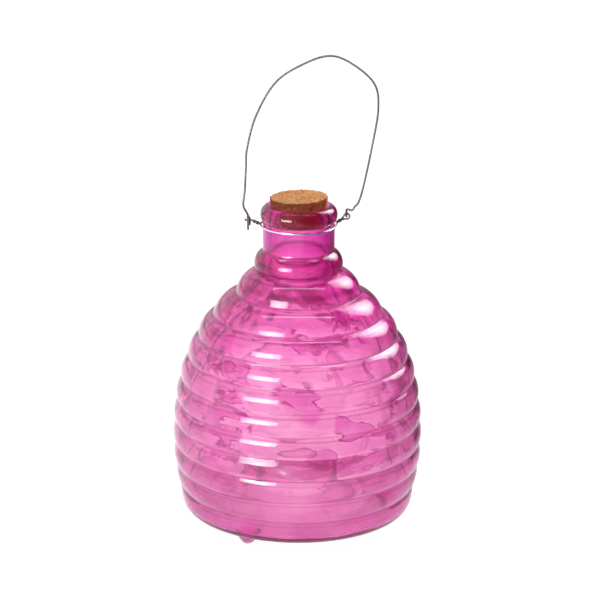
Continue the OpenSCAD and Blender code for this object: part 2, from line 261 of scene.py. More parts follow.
# The loop is averaged over a bell curve along its length, which rounds every groove and edge, and
# its rows are set closer together where it bends and along the flat that carries the feet
def softRows(line, marks):
    b = bottle
    closed = np.vstack([line, line[:1]])
    along = lengthsAlong(closed)
    step = b["fineStep"]
    places = np.arange(0, along[-1], step)
    reach = int(4 * b["softness"] / step)
    bell = np.exp(-0.5 * (np.arange(-reach, reach + 1) * step / b["softness"]) ** 2)
    padded = np.pad(readAt(closed, along, places), ((reach, reach), (0, 0)), mode="wrap")
    soft = np.stack([np.convolve(padded[:, k], bell / bell.sum(), "valid") for k in (0, 1)], -1)
    slope = np.roll(soft, -1, 0) - np.roll(soft, 1, 0)
    heading = np.unwrap(np.arctan2(slope[:, 1], slope[:, 0]))
    bend = np.minimum(b["sharpestBend"], np.abs(np.gradient(heading, step)))
    onFlat = (soft[:, 1] < b["flatH"]) & (soft[:, 0] > b["flareR"] - b["flatLead"])
    closeness = b["plainRows"] + b["bendRows"] * np.sqrt(bend) + b["footRows"] * onFlat
    closeness *= np.where(places > along[marks[1]], b["innerRows"], 1)
    total = np.cumsum(closeness)
    rows = np.interp(np.linspace(0, total[-1], b["rows"], endpoint=False), total, places)
    soft = np.vstack([soft, soft[:1]])
    normal = np.stack([slope[:, 1], -slope[:, 0]], -1)
    normal = np.vstack([normal, normal[:1]])
    ends = np.append(places, along[-1])
    points = readAt(soft, ends, rows)
    outward = readAt(normal, ends, rows)
    outward /= np.linalg.norm(outward, axis=1, keepdims=True)
    return points, outward, rows, along[marks]


# A sum of seeded waves, each with a whole number of crests round the bottle, so that it closes
def blownWaves(lengths, angles, rng, steepness):
    b = bottle
    low, high = b["waveLengths"]
    size = low * (high / low) ** rng.random(b["waveCount"])
    lean = rng.random(b["waveCount"]) * math.pi
    crests = np.round(2 * math.pi * b["bodyR"] * b["waveShare"] / size * np.sin(lean))
    tall = np.cos(lean) / size * 2 * math.pi
    phase = rng.random(b["waveCount"]) * 2 * math.pi
    waves = np.zeros((len(lengths), len(angles)))
    for k in range(b["waveCount"]):
        turn = tall[k] * lengths[:, None] + crests[k] * angles[None, :] + phase[k]
        waves += size[k] * np.cos(turn)
    return waves * steepness / math.sqrt(b["waveCount"]) / 2


# The soft line, moved along its normal by the waves, is turned round the axis: east and north are the
# radius times the cosine and sine of the angle
def makeBottle():
    b = bottle
    rng = np.random.default_rng(b["seed"])
    line, marks = bottleLine()
    points, outward, rows, (baseAt, rimAt) = softRows(line, marks)
    angles = np.linspace(0, 2 * math.pi, b["columns"], endpoint=False)
    isOuter = (rows > baseAt - b["outerLead"]) & (rows < rimAt - b["outerEnd"])
    isInner = rows > rimAt + b["innerLead"]
    # the inner waves fade out towards the neck and the entry collar
    bodyShare = np.clip((points[:, 0] - b["waveFromR"]) / b["waveFade"], 0, 1) * isInner
    shift = blownWaves(rows, angles, rng, b["innerWave"]) * bodyShare[:, None]
    shift += blownWaves(rows, angles, rng, b["outerWave"]) * isOuter[:, None]
    radius = points[:, :1] + outward[:, :1] * shift
    height = points[:, 1:] + outward[:, 1:] * shift
    east, north = radius * np.cos(angles), radius * np.sin(angles)
    # each foot is drawn down out of the underside as a blunt cone with slightly bulging sides
    isUnder = (rows < baseAt) & (points[:, 0] > b["flareR"] - b["footLead"])
    circle = (b["flareR"] + baseR - b["baseCornerW"]) / 2
    for k in range(b["footCount"]):
        turn = math.radians(b["footTurn"] + 360 / b["footCount"] * k)
        away = np.hypot(east - circle * math.cos(turn), north - circle * math.sin(turn))
        share = np.clip((away - b["footFlatR"]) / (b["footR"] - b["footFlatR"]), 0, 1)
        height -= b["footH"] * (1 - share ** b["footPower"]) * isUnder[:, None]
    piece = gridMesh("glass_bottle", np.stack([east, north, height + b["footH"]], -1))
    # painted shade along the grooves: a bell curve of the height above or below the nearest groove, or a
    # second line just under it
    grooves = np.append(grooveHeights, neckZ)
    grooves = np.r_[grooves, grooves - b["grooveStep"]]
    apart = np.abs(points[:, 1:] - grooves).min(1)
    grooveShadeShare = np.exp(-(apart / b["grooveWidth"]) ** 2) * isOuter
    # the outer side of the plain neck, fading out at both ends
    overNeck = points[:, 1] - neckZ
    fromEnd = np.minimum(overNeck, b["neckH"] - overNeck)
    inNeck = np.clip(fromEnd / b["neckFade"], 0, 1) * (rows < rimAt)
    for name, values in (("blownSide", bodyShare), ("groove", grooveShadeShare), ("neckGlass", inNeck)):
        pointNumbers(piece, name, np.repeat(values, b["columns"]))
    return piece


# Soda-lime glass tinted pink, blown in a mould: the colour lies in its depth, so thick and slanted places
# go magenta to crimson, and the skin is glossy with a slight orange peel. The dark lines along the
# grooves are painted shade, and the cords and patches on the inner side are partly painted refraction
# shade
def pinkGlass():
    b = bottle
    material, tree = newMaterial("pink_blown_glass")
    place = addNode(tree, "TexCoord").outputs["Object"]
    blown = addNode(tree, "Attribute", attribute_name="blownSide").outputs["Fac"]
    groove = addNode(tree, "Attribute", attribute_name="groove").outputs["Fac"]
    neck = addNode(tree, "Attribute", attribute_name="neckGlass").outputs["Fac"]
    peel = addNode(tree, "TexNoise", {"Vector": place, "Scale": perMm / b["peel"], "Detail": 2.0,
                                      "Roughness": 0.5})
    peelDepth = addNode(tree, "MapRange", {"Value": blown, "To Min": b["peelBump"][0],
                                           "To Max": b["peelBump"][1]})
    bump = addNode(tree, "Bump", {"Strength": peelDepth.outputs["Result"], "Distance": 0.4 * mm,
                                  "Height": peel.outputs["Fac"]})
    cloud = addNode(tree, "TexNoise", {"Vector": place, "Scale": perMm / b["cloud"], "Detail": 3.0,
                                       "Distortion": 1.5})
    tint = addNode(tree, "Mix", {0: cloud.outputs["Fac"], 6: hexColour(b["clear"][0]),
                                 7: hexColour(b["clear"][1])}, data_type="RGBA")
    # ragged cords on the inner side, partly painted dark refraction lines of the wavy wall: the contour
    # lines of a noise drawn out along the rings, here and there, and fewer of them low down
    drawn = addNode(tree, "VectorMath", {0: place, 1: [perMm / size for size in b["cordSize"]]},
                    operation="MULTIPLY")
    ragged = addNode(tree, "TexNoise", {"Vector": drawn.outputs[0], "Scale": 1.0, "Detail": 3.0,
                                        "Roughness": 0.55, "Distortion": 0.5})
    level = addNode(tree, "Math", {0: ragged.outputs["Fac"], 1: 0.5}, operation="SUBTRACT")
    level = addNode(tree, "Math", {0: level.outputs[0]}, operation="ABSOLUTE")
    cordAndShade = addNode(tree, "MapRange", {"Value": level.outputs[0], "From Min": b["cordEdge"][0],
                                      "From Max": b["cordEdge"][1], "To Min": 1.0, "To Max": 0.0})
    where = addNode(tree, "TexNoise", {"Vector": place, "Scale": perMm / b["places"], "Detail": 1.0})
    where = addNode(tree, "MapRange", {"Value": where.outputs["Fac"], "From Min": b["placeEdge"][0],
                                       "From Max": b["placeEdge"][1]})
    upward = addNode(tree, "SeparateXYZ", {0: place}).outputs["Z"]
    upper = addNode(tree, "MapRange", {"Value": upward, "From Min": b["cordsFrom"][0],
                                       "From Max": b["cordsFrom"][1], "To Min": b["cordsBelow"]})
    share = addNode(tree, "Math", {0: upper.outputs["Result"], 1: blown}, operation="MULTIPLY")
    share = addNode(tree, "Math", {0: share.outputs[0], 1: where.outputs["Result"]},
                    operation="MULTIPLY")
    cordAndShade = addNode(tree, "Math", {0: cordAndShade.outputs["Result"], 1: share.outputs[0]},
                   operation="MULTIPLY")
    # darker patches lie on one side of those lines, partly thicker glass and partly painted refraction
    # shade
    patchAndShade = addNode(tree, "MapRange", {"Value": ragged.outputs["Fac"], "From Min": b["patchEdge"][0],
                                       "From Max": b["patchEdge"][1]})
    patchAndShade = addNode(tree, "Math", {0: patchAndShade.outputs["Result"], 1: share.outputs[0]},
                    operation="MULTIPLY")
    # the lines at the grooves mixed in here are painted shade
    marks = ((patchAndShade.outputs[0], "patchAndShade"), (cordAndShade.outputs[0], "cordAndShade"), (groove, "groove"), (neck, "neck"))
    for amount, name in marks:
        tint = addNode(tree, "Mix", {0: amount, 6: tint.outputs[2], 7: hexColour(b[name])},
                       data_type="RGBA")
    smear = addNode(tree, "MapRange", {"Value": cloud.outputs["Fac"], "From Min": b["smear"][0],
                                       "From Max": b["smear"][1], "To Max": b["roughest"]})
    glass = addNode(tree, "BsdfPrincipled", {
        "Base Color": tint.outputs[2], "Roughness": smear.outputs["Result"], "IOR": b["ior"],
        "Coat Weight": b["gloss"], "Coat Roughness": b["glossRough"], "Coat IOR": b["glossIor"],
        "Transmission Weight": 1.0, "Alpha": b["alpha"], "Normal": bump.outputs["Normal"]})
    depth = addNode(tree, "VolumeAbsorption", {"Color": hexColour(b["depth"]), "Density": b["density"]})
    addNode(tree, "OutputMaterial", {"Surface": glass.outputs["BSDF"],
                                     "Volume": depth.outputs["Volume"]})
    return material


glassBottle = makeBottle()
glassBottle.data.materials.append(pinkGlass())
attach(glassBottle, "glass")
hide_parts("glass_body", "foot_front", "foot_right", "foot_rear")
print("glass bottle:", len(glassBottle.data.polygons), "faces")


# Cork, in mm with its top at height 0 until it is set in the mouth

cork = {
    "topR": 16.2, "lowR": 13.8, "length": 16.0, "edge": 0.7, "gap": 0.16,
    "leanBack": 0.5, "leanLeft": 2.0,  # degrees
    "columns": 200, "rowStep": 0.5, "tipR": 0.4, "tipIn": 0.1,
    "grainSize": 2.3, "grainDepth": 0.28, "grainShare": 6.5, "seed": 5,
    "jointWidth": 0.16, "jointReach": 0.5,  # of the dip at a joint and of its colour, in granules
    "seedBox": ((-17, -17, -17), (17, 17, 1)), "seedCount": 9000, "skin": 1.6, "proud": 0.6,
    "chipDepth": 0.5, "chipFrom": 0.62, "chipPlain": 0.35, "chipEdge": 2.2,
    "edgeIn": 0.3, "edgeWide": 0.8, "edgeDeep": 1.2,  # where the top's edge counts as an edge
    "grain": ("#DC9656", "#F2BA78"), "mottle": "#C67E42", "joint": "#8A4F26", "fleck": "#7A421E",
    # the side's tint: a painted shade, reddened by a painted reflection of the pink lip below
    "sideShade": "#DC9E86", "fleckSize": 5,
    "poreSize": 1.2,  # coarser than real pores, so that they show
}


# Cork granules: the share of the way from the nearest seed to the joint with the next one, and a
# number drawn for that nearest seed
def granules(points, seeds, tones):
    nearest = np.full(len(points), 1e9)
    second = nearest.copy()
    tone = np.zeros(len(points))
    for k in range(len(seeds)):
        away = np.linalg.norm(points - seeds[k], axis=1)
        closer = away < nearest
        second = np.where(closer, nearest, np.minimum(second, away))
        tone = np.where(closer, tones[k], tone)
        nearest = np.where(closer, away, nearest)
    return (second - nearest) / cork["grainSize"], tone


# A line of radius and height turned round the axis
def turned(line, ring):
    upright = np.repeat(line[:, None, 1:], len(ring), 1)
    return np.concatenate([line[:, None, :1] * ring, upright], -1)


# The cork's line is turned round its axis and sinks in along its normal at joints and broken granules
def makeCork():
    c = cork
    rng = np.random.default_rng(c["seed"])
    slope = (c["topR"] - c["lowR"]) / c["length"]
    edge = c["edge"]
    # up from the middle of the lower end, over its edge, along the tapered side and in over the top
    line = np.vstack([
        [[c["tipR"], -c["length"]]],
        ellipseArc([c["lowR"] - edge, edge - c["length"]], edge, edge, -90, 0, 6),
        ellipseArc([c["topR"] - edge, -edge], edge, edge, 0, 90, 6),
        [[c["tipR"], 0]],
    ])
    along = lengthsAlong(line)
    profile = readAt(line, along, np.linspace(0, along[-1], int(along[-1] / c["rowStep"])))
    angles = np.linspace(0, 2 * math.pi, c["columns"], endpoint=False)
    ring = np.stack([np.cos(angles), np.sin(angles)], -1)
    grid = turned(profile, ring)
    flat = grid.reshape(-1, 3)
    # seeds fill a skin a little thicker than a granule
    seeds = rng.uniform(*c["seedBox"], (c["seedCount"], 3))
    radial = np.hypot(seeds[:, 0], seeds[:, 1]) - (c["topR"] + slope * seeds[:, 2])
    nearEnd = (seeds[:, 2] > -c["skin"]) | (seeds[:, 2] < c["skin"] - c["length"])
    seeds = seeds[(radial < c["proud"]) & ((radial > -c["skin"]) | nearEnd)]
    keep = rng.random(len(seeds)) < c["grainShare"] / c["grainSize"] ** 3
    seeds = seeds[keep]
    joint, tone = granules(flat, seeds, rng.random(len(seeds)))
    # granules stand proud of their joints, and some have broken out, most of them at the top's edge
    dip = c["grainDepth"] * np.exp(-(joint / c["jointWidth"]) ** 2)
    inFromEdge = np.hypot(flat[:, 0], flat[:, 1]) - c["topR"] + c["edgeIn"]
    edgeShare = np.exp(-(inFromEdge / c["edgeWide"]) ** 2 - (flat[:, 2] / c["edgeDeep"]) ** 2)
    broken = c["chipDepth"] * np.clip(tone - c["chipFrom"], 0, 1)
    dip += broken * (c["chipPlain"] + c["chipEdge"] * edgeShare)
    lean = np.gradient(profile, axis=0)
    normal = np.stack([lean[:, 1], -lean[:, 0]], -1)
    normal /= np.linalg.norm(normal, axis=1, keepdims=True)
    grid = grid - turned(normal, ring) * dip.reshape(len(profile), -1, 1)
    # it leans about the middle of its seat, and is moved back by what the lean of a taper takes up
    tips = np.array([[0, 0, c["tipIn"] - c["length"]], [0, 0, -c["tipIn"]]])
    topZ = (c["topR"] - bottle["mouthR"] + c["gap"]) / slope
    back, left = math.radians(c["leanBack"]), math.radians(c["leanLeft"])
    turn = np.array(Matrix.Rotation(-left, 3, "Y") @ Matrix.Rotation(-back, 3, "X"))
    shift = slope * bottle["mouthR"] * np.array([math.sin(left), -math.sin(back)])
    seat = np.array([*shift, bottle["footH"] + rimZ])
    grid, tips = [(part + [0, 0, topZ]) @ turn.T + seat for part in (grid, tips)]
    piece = gridMesh("cork_stopper_skin", grid, tips)
    # how far each point faces sideways, which sets the painted shade on the side
    shadeOnSide = np.repeat(np.abs(normal[:, 0]), c["columns"])
    fromJoint = np.clip(joint / c["jointReach"], 0, 1)
    for name, values in (("grainTone", tone), ("grainJoint", fromJoint), ("shadedSide", shadeOnSide)):
        pointNumbers(piece, name, np.append(values, [0, 0]))
    return piece


# Agglomerated cork, cut and sanded: pressed granules from honey to brown with dark flecks of bark between
# them, quite dull, and a side darkened by painted shade and reddened by a painted reflection of the pink
# lip
def pressedCork():
    c = cork
    material, tree = newMaterial("agglomerated_cork")
    place = addNode(tree, "TexCoord").outputs["Object"]
    tone = addNode(tree, "Attribute", attribute_name="grainTone").outputs["Fac"]
    joint = addNode(tree, "Attribute", attribute_name="grainJoint").outputs["Fac"]
    side = addNode(tree, "Attribute", attribute_name="shadedSide").outputs["Fac"]
    fine = addNode(tree, "TexNoise", {"Vector": place, "Scale": perMm / c["poreSize"], "Detail": 4.0,
                                      "Roughness": 0.65})
    speck = addNode(tree, "TexNoise", {"Vector": place, "Scale": perMm / c["fleckSize"], "Detail": 2.0})
    body = addNode(tree, "Mix", {0: tone, 6: hexColour(c["grain"][0]), 7: hexColour(c["grain"][1])},
                   data_type="RGBA")
    mottle = addNode(tree, "MapRange", {"Value": fine.outputs["Fac"], "From Min": 0.35,
                                        "From Max": 0.7})
    body = addNode(tree, "Mix", {0: mottle.outputs["Result"], 6: hexColour(c["mottle"]),
                                 7: body.outputs[2]}, data_type="RGBA")
    gap = addNode(tree, "MapRange", {"Value": joint, "From Min": 0.0, "From Max": 0.35,
                                     "To Min": 0.75, "To Max": 0.0})
    body = addNode(tree, "Mix", {0: gap.outputs["Result"], 6: body.outputs[2],
                                 7: hexColour(c["joint"])}, data_type="RGBA")
    flecks = addNode(tree, "MapRange", {"Value": speck.outputs["Fac"], "From Min": 0.62,
                                        "From Max": 0.7, "To Min": 0.0, "To Max": 0.7})
    body = addNode(tree, "Mix", {0: flecks.outputs["Result"], 6: body.outputs[2],
                                 7: hexColour(c["fleck"])}, data_type="RGBA")
    # the side is multiplied by a painted shade, reddened as a painted reflection of the pink lip below
    body = addNode(tree, "Mix", {0: side, 6: body.outputs[2], 7: hexColour(c["sideShade"])},
                   data_type="RGBA", blend_type="MULTIPLY")
    bump = addNode(tree, "Bump", {"Strength": 0.5, "Distance": 0.3 * mm,
                                  "Height": fine.outputs["Fac"]})
    skin = addNode(tree, "BsdfPrincipled", {"Base Color": body.outputs[2], "Roughness": 0.85,
                                            "IOR": 1.4, "Normal": bump.outputs["Normal"]})
    addNode(tree, "OutputMaterial", {"Surface": skin.outputs["BSDF"]})
    return material


corkPiece = makeCork()
corkPiece.data.materials.append(pressedCork())
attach(corkPiece, "stopper")
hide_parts("cork_stopper")
print("cork:", len(corkPiece.data.polygons), "faces")


# Wires, in mm in the part's own frame

neckTie = {
    "thick": 1.0, "gap": 0.35, "height": 170.4, "strandGap": 0.06, "leave": 28.0,
    "rightSlope": 32.0, "rightTwist": 3.2, "rightTurns": 0.75, "rightRise": 2.0,
    "eyeReach": 2.2, "eyeR": 1.6,
    "leftSlope": 24.0, "leftTwist": 3.6, "leftTurns": 1.0, "leftRise": 0.4,
    "pinLen": 2.9, "pinBend": 1.2, "stubLen": 1.0, "stubLean": 40.0,
    "zinc": ("#D2CFCA", "#F4F3F1"), "earGrey": ("#4A4440", "#8B857F"),
    "cloudSize": 4,
    "earFrom": (0.0185, 0.0215),  # metres from the middle
}
bail = {
    "thick": 1.1, "height": 88.5, "leftBow": 2.3, "rightBow": 21.3, "topShift": 2.4,
    "leftRingR": 2.4, "tail": 6.0, "tailLean": 0.3, "ringGap": 1.25,
    "rightTurn": (-60.0, 220.0), "rightDrift": 0.4,
    "oxide": ("#544B47", "#857E79"), "cloudSize": 14,
}


def unit(v):
    return v / np.linalg.norm(v, axis=-1, keepdims=True)


# Hermite curve: at p with heading u to q with heading v, both scaled to the curve's length
def hermite(p, u, q, v, count):
    t = np.linspace(0, 1, count + 1)[:, None]
    s = 1 - t
    return p * (1 + 2 * t) * s * s + u * t * s * s + q * t * t * (3 - 2 * t) - v * t * t * s


# A smooth line through knots, each stretch a Hermite curve headed along its neighbours' chord
def splineThrough(knots, count):
    knots = np.array(knots, float)
    first, last = knots[1:2] - knots[:1], knots[-1:] - knots[-2:-1]
    heading = np.vstack([first, knots[2:] - knots[:-2], last]) / 2
    parts = []
    for k in range(len(knots) - 1):
        parts.append(hermite(knots[k], heading[k], knots[k + 1], heading[k + 1], count)[:-1])
    return np.vstack(parts + [knots[-1:]])


# A tube round a line: at each place a circle across it, with sides carried on from the last place
# so that the tube doesn't twist, and a rounded tip at each end
def wireAlong(name, line, thick, sides=14):
    keep = np.r_[True, np.linalg.norm(np.diff(line, axis=0), axis=1) > 1e-4]
    line = line[keep]
    along = unit(np.gradient(line, axis=0))
    side = np.array([0.3, 0.5, 0.8])  # any way that isn't the wire's own
    carried = []
    for direction in along:
        side = unit(side - direction * (side @ direction))
        carried.append(side)
    across = np.array(carried)
    other = np.cross(along, across)
    turn = np.linspace(0, 2 * math.pi, sides, endpoint=False)[None, :, None]
    circle = across[:, None] * np.cos(turn) + other[:, None] * np.sin(turn)
    grid = line[:, None] + thick / 2 * circle
    # the last ring at each end is drawn in, so that the cut end has a small round
    tipOut, tipR, tipEnd = 0.15 * thick, 0.35 * thick, 1.3
    start = line[:1, None] - along[:1, None] * tipOut + tipR * circle[:1]
    end = line[-1:, None] + along[-1:, None] * tipOut + tipR * circle[-1:]
    grid = np.concatenate([start, grid, end])
    tips = np.stack([line[0] - along[0] * tipEnd * tipOut, line[-1] + along[-1] * tipEnd * tipOut])
    return gridMesh(name, grid, tips)


# The hinge line of the bail goes from the pin at the left ear to the top of the eye at the right
tieR = bottle["neckR"] + neckTie["gap"] + neckTie["thick"] / 2
rightSlope, leftSlope = math.radians(neckTie["rightSlope"]), math.radians(neckTie["leftSlope"])
rightWay = np.array([math.cos(rightSlope), 0, math.sin(rightSlope)])
rightUp = np.array([-rightWay[2], 0, rightWay[0]])
leftWay = np.array([-math.cos(leftSlope), 0, math.sin(leftSlope)])
rootR = tieR + neckTie["thick"]
rightRoot = np.array([rootR, 0, neckTie["height"] + neckTie["rightRise"] * neckTie["thick"]])
leftRoot = np.array([-rootR, 0, neckTie["height"] + neckTie["leftRise"] * neckTie["thick"]])
eye = rightRoot + rightWay * (neckTie["rightTwist"] + neckTie["eyeReach"])
pinRoot = leftRoot + leftWay * (neckTie["leftTwist"] + neckTie["pinBend"] * neckTie["thick"])
rightHinge = eye + np.array([0, 0, neckTie["eyeR"] / rightWay[0]])
hingeWay = unit(rightHinge - pinRoot)
hingeUp = np.array([-hingeWay[2], 0, hingeWay[0]])
pinEnd = pinRoot - hingeWay * neckTie["pinLen"]
leftHinge = pinRoot - hingeWay * neckTie["pinLen"] / 2
hingeMid = (leftHinge + rightHinge) / 2
halfSpan = np.linalg.norm(rightHinge - leftHinge) / 2
rightRingR = rightHinge[2] - eye[2]


# One wire: from the pin at the left through the twist, round the front of the neck, through the
# right twist and its eye, and back round the rear of the neck to the left twist
def tieLine():
    t = neckTie
    strandR = (t["thick"] + t["strandGap"]) / 2

    # a helix round the straight way out from the neck
    def strand(root, way, length, turns, phase, count):
        share = np.linspace(0, 1, count + 1)[:, None]
        angle = np.radians(phase + 360 * turns * share)
        sideways = np.array([0, 1, 0])
        around = sideways * np.cos(angle) + np.cross(way, sideways) * np.sin(angle)
        return root + way * length * share + strandR * around

    # the circle round the neck
    def onNeck(degrees):
        angle = np.radians(np.atleast_1d(degrees))[:, None]
        level = np.full_like(angle, t["height"])
        return np.hstack([tieR * np.cos(angle), tieR * np.sin(angle), level])

    # a Hermite curve that leaves that circle along its tangent and ends in a twist
    def leg(degrees, sense, end, way):
        angle = math.radians(degrees)
        heading = sense * tieR / 2 * np.array([-math.sin(angle), math.cos(angle), 0])
        return hermite(onNeck(degrees)[0], heading, end, way * t["thick"] * 3, 12)[1:-1]

    leave = t["leave"]
    left = (leftRoot, leftWay, t["leftTwist"], t["leftTurns"])
    right = (rightRoot, rightWay, t["rightTwist"], t["rightTurns"])
    frontLeft, rearLeft = [strand(*left, phase, 24) for phase in (180, 0)]
    frontRight, rearRight = [strand(*right, phase, 18) for phase in (180, 0)]
    bend = np.radians(np.arange(90, -91, -30))[:, None]
    far = eye + t["eyeR"] * (rightWay * np.cos(bend) + rightUp * np.sin(bend))
    loop = splineThrough(np.vstack([frontRight[-1:], far, rearRight[-1:]]), 6)[1:-1]
    lean = math.radians(t["stubLean"])
    stub = pinEnd + t["stubLen"] * (hingeUp * math.cos(lean) - hingeWay * math.sin(lean))
    pin = splineThrough([stub, pinEnd + 0.3 * (stub - pinEnd), pinEnd + 0.3 * hingeWay,
                         pinEnd + 0.5 * t["pinLen"] * hingeWay, pinRoot], 6)
    lastTurn = 1.5 * t["thick"] * unit(frontLeft[-1] - frontLeft[-2])
    return np.vstack([
        pin[:-1],
        hermite(pinRoot, hingeWay * t["thick"], frontLeft[-1], -lastTurn, 8)[:-1],
        frontLeft[::-1],
        leg(180 + leave, -1, frontLeft[0], leftWay)[::-1],
        onNeck(np.linspace(180 + leave, 360 - leave, 61)),
        leg(360 - leave, 1, frontRight[0], rightWay),
        frontRight, loop, rearRight[::-1],
        leg(leave, -1, rearRight[0], rightWay)[::-1],
        onNeck(np.linspace(leave, 180 - leave, 61)),
        leg(180 - leave, 1, rearLeft[0], leftWay),
        rearLeft,
    ])


# The bail's line in its own frame: along the hinge line, to the rear of it, and up from it
def bailLine():
    b = bail
    h, rise = halfSpan, b["height"]

    # a ring round the hinge line that drifts along it as it turns
    def hingeRing(x, radius, drift, start, end):
        share = np.linspace(0, 1, 37)
        angle = np.radians(start + (end - start) * share)
        return np.stack([x + drift * share, radius * np.cos(angle), -radius * np.sin(angle)], -1)

    left = hingeRing(-h + b["ringGap"] / 2, b["leftRingR"], -b["ringGap"], 0, 360)
    right = hingeRing(h, rightRingR, -b["rightDrift"], *b["rightTurn"])
    tail = left[-1] + [-b["tailLean"], 0, -b["tail"]]
    # knots of the loop as it was bent by hand
    knots = [
        left[0],
        [-h - b["leftBow"] / 3, b["leftRingR"] / 2, 0.045 * rise],
        [-h - b["leftBow"], 0, 0.1 * rise],
        [-h - b["leftBow"] / 3, 0, 0.194 * rise],
        [-h + 0.9, 0, 0.338 * rise],
        [-h + 2.4, 0, 0.457 * rise],
        [-h + 8.8, 0, 0.661 * rise],
        [-h + 21.2, 0, 0.864 * rise],
        [h - b["topShift"] - 14, 0, 0.967 * rise],
        [h - b["topShift"], 0, rise],
        [h - b["topShift"] + 11.5, 0, 0.939 * rise],
        [h + b["rightBow"] - 1.2, 0, 0.807 * rise],
        [h + b["rightBow"], 0, 0.649 * rise],
        [h + b["rightBow"] - 4.3, 0, 0.435 * rise],
        [h + b["rightBow"] / 2, 0, 0.179 * rise],
        [h + b["rightBow"] / 3, 0, 0.068 * rise],
        [h + b["rightBow"] / 4.5, 0, 0.038 * rise],
        [h + 3.3, 0, 0.8 * rightRingR],
        [h + 2.1, 0, 0.8 * rightRingR],
        [h + 0.9, 0, 1.1 * rightRingR],
        right[0],
    ]
    loop = splineThrough(knots, 12)
    line = np.vstack([[tail, (tail + left[-1]) / 2], left[::-1], loop[1:], right[1:]])
    rearward = np.array([0, 1, 0])
    return hingeMid + line[:, :1] * hingeWay + line[:, 1:2] * rearward + line[:, 2:] * hingeUp


# Galvanised steel wire: a pale bright zinc skin round the neck, and a darker and duller grey at the
# twisted ears
def zincWire():
    t = neckTie
    material, tree = newMaterial("galvanised_wire")
    place = addNode(tree, "TexCoord").outputs["Object"]
    cloud = addNode(tree, "TexNoise", {"Vector": place, "Scale": perMm / t["cloudSize"], "Detail": 3.0})
    zinc, earGrey = [addNode(tree, "Mix", {0: cloud.outputs["Fac"], 6: hexColour(dark),
                                           7: hexColour(light)}, data_type="RGBA")
                     for dark, light in (t["zinc"], t["earGrey"])]
    across = addNode(tree, "SeparateXYZ", {0: place}).outputs["X"]
    outward = addNode(tree, "Math", {0: across}, operation="ABSOLUTE")
    ear = addNode(tree, "MapRange", {"Value": outward.outputs[0], "From Min": t["earFrom"][0],
                                     "From Max": t["earFrom"][1]})
    skin = addNode(tree, "Mix", {0: ear.outputs["Result"], 6: zinc.outputs[2], 7: earGrey.outputs[2]},
                   data_type="RGBA")
    dull = addNode(tree, "MapRange", {"Value": ear.outputs["Result"], "To Min": 0.16,
                                      "To Max": 0.45})
    metal = addNode(tree, "BsdfPrincipled", {"Base Color": skin.outputs[2], "Metallic": 1.0,
                                             "Roughness": dull.outputs["Result"]})
    addNode(tree, "OutputMaterial", {"Surface": metal.outputs["BSDF"]})
    return material


# Annealed iron wire: a thin brown-grey oxide in long clouds, half matt
def annealedWire():
    material, tree = newMaterial("annealed_wire")
    place = addNode(tree, "TexCoord").outputs["Object"]
    cloud = addNode(tree, "TexNoise", {"Vector": place, "Scale": perMm / bail["cloudSize"], "Detail": 2.0,
                                       "Roughness": 0.5})
    dark, light = bail["oxide"]
    oxide = addNode(tree, "Mix", {0: cloud.outputs["Fac"], 6: hexColour(dark), 7: hexColour(light)},
                    data_type="RGBA")
    dull = addNode(tree, "MapRange", {"Value": cloud.outputs["Fac"], "To Min": 0.7, "To Max": 0.5})
    metal = addNode(tree, "BsdfPrincipled", {"Base Color": oxide.outputs[2], "Metallic": 1.0,
                                             "Roughness": dull.outputs["Result"]})
    addNode(tree, "OutputMaterial", {"Surface": metal.outputs["BSDF"]})
    return material


tieWire = wireAlong("neck_tie", tieLine(), neckTie["thick"])
tieWire.data.materials.append(zincWire())
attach(tieWire, "tie")
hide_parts("neck_tie_wire")

bailWire = wireAlong("bail", bailLine(), bail["thick"])
bailWire.data.materials.append(annealedWire())
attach(bailWire, "bail")
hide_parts("bail_wire")
print("wires:", len(tieWire.data.polygons) + len(bailWire.data.polygons), "faces")


# Floor and light, in metres

studio = {
    "floorRings": (0.5, 1.0, 2.0, 4.0), "floorColumns": 96, "floorTones": ("#727170", "#7A7978"),
    "floorGlow": 0.95,  # to the eye
    # the floor's level in gloss and glass is lower near the bottle, a painted shadow of it
    "floorNear": 1.17, "floorFar": 1.46, "nearFar": (0.04, 0.5),  # to gloss and glass
    "rightSide": (0.04, 0.22), "lossInGlass": 0.35, "lossInGloss": 0.88,
    "fill": 0.62,
    # the room's directions run from -1 to 1
    "roomUp": (0.15, 0.75), "overhead": 0.6,
    "roomRight": (-0.6, 0.4), "leftLevel": 1.5, "rightLevel": 0.06,
    "bandUp": 0.06, "bandEdge": (0.03, 0.08), "bandLevel": 0.5,
    "aimHeight": 0.1,
}
lamps = {
    "key_softbox": {"way": (-0.561, -0.787, 0.259), "away": 1.2, "size": (0.74, 0.38), "watts": 1.6,
                    "spread": 50.0, "lightsMatt": False},
    "low_strip": {"way": (-0.578, -0.811, 0.08), "away": 1.2, "size": (0.7, 0.12), "watts": 0.5,
                  "spread": 50.0, "lightsMatt": False},
    "rear_softbox": {"way": (0.57, 0.60, 0.55), "away": 1.4, "size": (1.05, 1.05), "watts": 3.2,
                     "spread": 48.0, "lightsMatt": True},
    "top_strip": {"way": (0.0, 0.05, 1.0), "away": 1.3, "size": (1.4, 0.16), "watts": 5.5,
                  "spread": 180.0, "lightsMatt": False},
}
